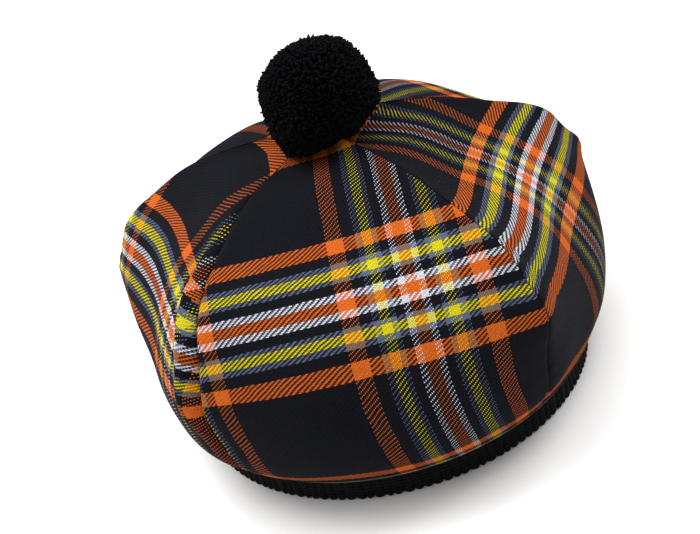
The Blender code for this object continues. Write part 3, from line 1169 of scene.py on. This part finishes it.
@dataclass
class Pompom:
    """The pompom: a ball of cut yarn ends round a dark core."""

    lowest: Vector
    highest: Vector
    crown_top: np.ndarray
    picture_axes: tuple[np.ndarray, np.ndarray]
    yarns: int = 7600
    sides: int = 4
    core_share: float = 0.78
    root_share: float = 0.62
    core_subdivisions: int = 4
    yarn_radius: float = 0.00058
    yarn_width: tuple[float, float] = (0.75, 1.2)
    yarn_bend: float = 0.0006
    yarn_twist: float = 2.2
    # Places along a yarn, and its width there.
    yarn_rings: tuple[tuple[float, float], ...] = ((0.35, 0.9), (0.86, 1.15), (1.0, 0.85))
    frayed_from: float = 0.8
    frayed_width: tuple[float, float] = (0.75, 1.25)
    tip_rise: float = 0.5
    upright_share: float = 0.9
    scatter: float = 0.018
    splay: float = 0.11
    uneven: float = 0.017
    uneven_limits: tuple[float, float] = (-0.08, 0.06)
    cut_back: float = 0.02
    cloth_clearance: float = 0.0007
    cloth_tuck: float = 0.006
    cloth_lift: float = 0.0012
    search_block: int = 500
    seed: int = 7
    # Columns: angle in the picture in degrees, counterclockwise from its right, and the share of
    # the radius there.
    trim: tuple[tuple[float, float], ...] = (
        (0.0, 1.0),
        (20.0, 0.945),
        (42.0, 0.93),
        (61.0, 0.985),
        (82.0, 0.94),
        (102.0, 0.935),
        (117.0, 0.93),
        (147.0, 0.96),
        (164.0, 1.01),
        (174.0, 1.03),
        (209.0, 1.0),
        (225.0, 1.07),
        (245.0, 1.15),
        (258.0, 1.05),
        (275.0, 0.92),
        (298.0, 0.84),
        (320.0, 0.86),
        (334.0, 0.87),
        (347.0, 0.95),
        (360.0, 1.0),
    )
    finish: PompomYarn = field(default_factory=PompomYarn)

    @property
    def radius(self) -> float:
        """The ball's radius, from the width of its node."""
        return (self.highest.x - self.lowest.x) / 2

    @property
    def centre(self) -> np.ndarray:
        """The ball's centre, one radius below the top of its node."""
        middle = (self.lowest + self.highest) / 2
        return np.array((middle.x, middle.y, self.highest.z - self.radius))

    def trimmed(self, out: np.ndarray) -> np.ndarray:
        """Return how far the ball reaches in each direction, as it was cut.

        Args:
            out: the directions, one row each.

        Returns:
            The shares of the radius.
        """
        right, up = (out @ direction for direction in self.picture_axes)
        angle = np.degrees(np.arctan2(up, right)) % 360
        places, shares = np.array(self.trim).T
        return 1 + (np.interp(angle, places, shares) - 1) * (right ** 2 + up ** 2)

    def floor_under(self, points: np.ndarray) -> np.ndarray:
        """Return the height of the crown under each point.

        Args:
            points: the points, one row each.

        Returns:
            The heights.
        """
        heights = np.empty(len(points))
        for start in range(0, len(points), self.search_block):
            stop = start + self.search_block
            apart = ((points[start:stop, None, :2] - self.crown_top[None, :, :2]) ** 2).sum(axis=2)
            heights[start:stop] = self.crown_top[apart.argmin(axis=1), 2]
        return heights

    def build(self) -> Object:
        """Build the ball of yarn ends and dress it.

        Returns:
            The pompom.
        """
        chance = np.random.default_rng(self.seed)
        order = np.arange(self.yarns) + 0.5
        polar = np.arccos(1 - 2 * order / self.yarns)
        turn = math.pi * (1 + math.sqrt(5)) * order
        out = np.stack((np.sin(polar) * np.cos(turn), np.sin(polar) * np.sin(turn), np.cos(polar)), axis=1)
        out += chance.normal(0.0, self.scatter, out.shape)
        out /= np.linalg.norm(out, axis=1, keepdims=True)
        uneven = chance.normal(0.0, self.uneven, self.yarns).clip(*self.uneven_limits)
        length = self.trimmed(out) + uneven - self.cut_back
        aim = out + chance.normal(0.0, self.splay, out.shape)
        aim /= np.linalg.norm(aim, axis=1, keepdims=True)
        root = self.centre + out * (self.radius * self.root_share * self.trimmed(out))[:, None]
        tip = self.centre + out * (self.radius * length)[:, None]
        tip += (aim - out) * self.radius * (1 - self.root_share)
        ground = self.floor_under(tip) + self.cloth_clearance
        kept = (tip[:, 2] > ground - self.cloth_tuck) & (root[:, 2] > self.floor_under(root))
        tip[:, 2] = np.maximum(tip[:, 2], ground + chance.uniform(0.0, self.cloth_lift, self.yarns))
        root, tip = root[kept], tip[kept]
        points, faces = self.strands(root, tip, chance)
        shade = np.repeat(chance.uniform(0.0, 1.0, len(root)) ** 2, len(points) // len(root))
        core_points, core_faces = self.core()
        everything = np.concatenate((points, core_points))
        faces = faces + [[number + len(points) for number in face] for face in core_faces]
        piece = mesh_piece("yarn_pompom", everything, faces, self.finish.material())
        layer = piece.data.attributes.new(YARN_SHADE, "FLOAT", "POINT")
        shades = np.concatenate((shade, np.zeros(len(core_points))))
        layer.data.foreach_set("value", shades.astype(np.float32))
        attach(piece, "root")
        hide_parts("pompom")
        return piece

    def strands(
        self, root: np.ndarray, tip: np.ndarray, chance: np.random.Generator,
    ) -> tuple[np.ndarray, list]:
        """Return the yarn ends as short tubes.

        Args:
            root: where each yarn starts.
            tip: where each yarn is cut.
            chance: the source of chance.

        Returns:
            The points and the faces.
        """
        count = len(root)
        run = tip - root
        ahead = run / np.linalg.norm(run, axis=1, keepdims=True)
        upright = np.abs(ahead[:, 2:3]) >= self.upright_share
        helper = np.where(upright, np.array((1.0, 0.0, 0.0)), np.array((0.0, 0.0, 1.0)))
        first = np.cross(ahead, helper)
        first /= np.linalg.norm(first, axis=1, keepdims=True)
        second = np.cross(ahead, first)
        first_bend = first * chance.normal(0.0, self.yarn_bend, (count, 1))
        bend = first_bend + second * chance.normal(0.0, self.yarn_bend, (count, 1))
        width = self.yarn_radius * chance.uniform(*self.yarn_width, count)
        rings = []
        for place, share in self.yarn_rings:
            middle = root + run * place + bend * math.sin(math.pi * place)
            for side in range(self.sides):
                angle = 2 * math.pi * side / self.sides + self.yarn_twist * place
                ring = first * math.cos(angle) + second * math.sin(angle)
                frayed = place > self.frayed_from
                rough = chance.uniform(*self.frayed_width, count) if frayed else np.ones(count)
                rings.append(middle + ring * (width * share * rough)[:, None])
        rings.append(tip + ahead * (width * self.tip_rise)[:, None])
        points = np.stack(rings, axis=1).reshape(-1, 3)
        each = len(rings)
        one = []
        for station in range(len(self.yarn_rings) - 1):
            for side in range(self.sides):
                after = (side + 1) % self.sides
                low = station * self.sides
                high = low + self.sides
                one.append([low + side, low + after, high + after, high + side])
        last = (len(self.yarn_rings) - 1) * self.sides
        for side in range(self.sides):
            one.append([last + side, last + (side + 1) % self.sides, each - 1])
        one.append(list(range(self.sides))[::-1])
        faces = [[number + start * each for number in face] for start in range(count) for face in one]
        return points, faces

    def core(self) -> tuple[np.ndarray, list]:
        """Return the dark core that closes the gaps between the yarns.

        Returns:
            The points and the faces.
        """
        shape = bmesh.new()
        radius = self.radius * self.core_share
        bmesh.ops.create_icosphere(shape, subdivisions=self.core_subdivisions, radius=radius)
        points = np.array([vert.co[:] for vert in shape.verts])
        out = points / np.linalg.norm(points, axis=1, keepdims=True)
        points = points * self.trimmed(out)[:, None] + self.centre
        faces = [[vert.index for vert in face.verts] for face in shape.faces]
        shape.free()
        points[:, 2] = np.maximum(points[:, 2], self.floor_under(points) + self.cloth_clearance)
        return points, faces


@dataclass
class Studio:
    """The floor, the lights and the camera."""

    target: Vector
    target_height: float = 0.05328
    elevation: float = math.radians(26.97)
    roll: float = math.radians(17.35)
    distance: float = 0.3863
    focal_pixels: float = 825.5
    frame_pixels: int = 700
    sensor: float = 36.0
    sideways: float = -0.00107
    floor_size: float = 60.0
    # Columns: name, azimuth and elevation in degrees, distance and width in metres, watts.
    lamps: tuple[tuple[str, float, float, float, float, float], ...] = (
        ("key_softbox", -115.0, 60.0, 1.1, 0.8, 8.0),
        ("right_softbox", 100.0, 50.0, 1.3, 0.8, 8.0),
    )
    ceiling_strength: float = 3.05
    ceiling_angle: float = math.radians(95.0)
    ceiling_tilt: tuple[float, float, float] = (math.radians(-9.0), math.radians(-8.0), 0.0)
    room_strength: float = 0.28
    view_reach: float = 200.0
    finish: StudioFloor = field(default_factory=StudioFloor)

    def build_floor(self) -> Object:
        """Build the floor.

        Returns:
            The floor.
        """
        half = self.floor_size / 2
        signs = ((-1, -1), (1, -1), (1, 1), (-1, 1))
        corners = np.array([(x * half, y * half, 0.0) for x, y in signs])
        floor = mesh_piece("studio_floor", corners, [[0, 1, 2, 3]], self.finish.material())
        return floor

    def build_lamps(self) -> None:
        """Hang the softboxes round the hat and light the room a little."""
        for name, azimuth, elevation, distance, width, watts in self.lamps:
            light = bpy.data.lights.new(name, "AREA")
            light.shape = "DISK"
            light.size = width
            light.energy = watts
            lamp = bpy.data.objects.new(name, light)
            turn, lift = math.radians(azimuth), math.radians(elevation)
            level = math.cos(lift)
            out = Vector((math.sin(turn) * level, -math.cos(turn) * level, math.sin(lift)))
            lamp.location = self.target + out * distance
            lamp.rotation_euler = out.to_track_quat("Z", "Y").to_euler()
            bpy.context.collection.objects.link(lamp)
        light = bpy.data.lights.new("ceiling_light", "SUN")
        light.energy = self.ceiling_strength
        light.angle = self.ceiling_angle
        ceiling = bpy.data.objects.new("ceiling_light", light)
        ceiling.rotation_euler = self.ceiling_tilt
        bpy.context.collection.objects.link(ceiling)
        world = bpy.data.worlds.new("studio_room")
        world.use_nodes = True
        background = world.node_tree.nodes["Background"]
        background.inputs["Color"].default_value = (1.0, 1.0, 1.0, 1.0)
        background.inputs["Strength"].default_value = self.room_strength
        bpy.context.scene.world = world

    def picture_axes(self) -> tuple[np.ndarray, np.ndarray]:
        """Return the picture's right and up directions in the room.

        Returns:
            The two unit vectors.
        """
        right = Vector((1.0, 0.0, 0.0))
        up = Vector((0.0, math.sin(self.elevation), math.cos(self.elevation)))
        c, s = math.cos(self.roll), math.sin(self.roll)
        return np.array(right * c - up * s), np.array(right * s + up * c)

    def build_camera(self) -> Object:
        """Build the camera at the photograph's angle.

        Returns:
            The camera.
        """
        data = bpy.data.cameras.new("photo_camera")
        data.sensor_width = self.sensor
        data.lens = self.focal_pixels / self.frame_pixels * self.sensor
        data.clip_end = self.view_reach
        back = Vector((0.0, -math.cos(self.elevation), math.sin(self.elevation)))
        image_right, image_up = (Vector(direction) for direction in self.picture_axes())
        camera = bpy.data.objects.new("photo_camera", data)
        turn = Matrix((image_right, image_up, back)).transposed().to_4x4()
        place = self.target + back * self.distance + image_right * self.sideways
        camera.matrix_world = Matrix.Translation(place) @ turn
        bpy.context.collection.objects.link(camera)
        bpy.context.scene.camera = camera
        return camera

    def build(self) -> None:
        """Build the floor, the lights and the camera."""
        self.build_camera()
        self.build_floor()
        self.build_lamps()
        bpy.context.scene.view_settings.view_transform = "Standard"


def main() -> None:
    """Build every sub-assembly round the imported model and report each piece."""
    logging.basicConfig(level=logging.INFO, format="%(message)s")
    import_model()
    low, high = (Vector(corner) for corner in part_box("headband"))
    axis = (low + high) / 2
    crown = Crown(axis=axis)
    target = Vector((axis.x - crown.lean_left, axis.y + crown.lean_back, Studio.target_height))
    studio = Studio(target=target)
    studio.build()
    for panel in range(crown.panels):
        report(crown.build_panel(panel))
    report(Headband(axis=axis).build())
    low, high = (Vector(corner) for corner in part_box("pompom"))
    top = crown.top_points()
    report(Pompom(lowest=low, highest=high, crown_top=top, picture_axes=studio.picture_axes()).build())


if __name__ == "__main__":
    main()
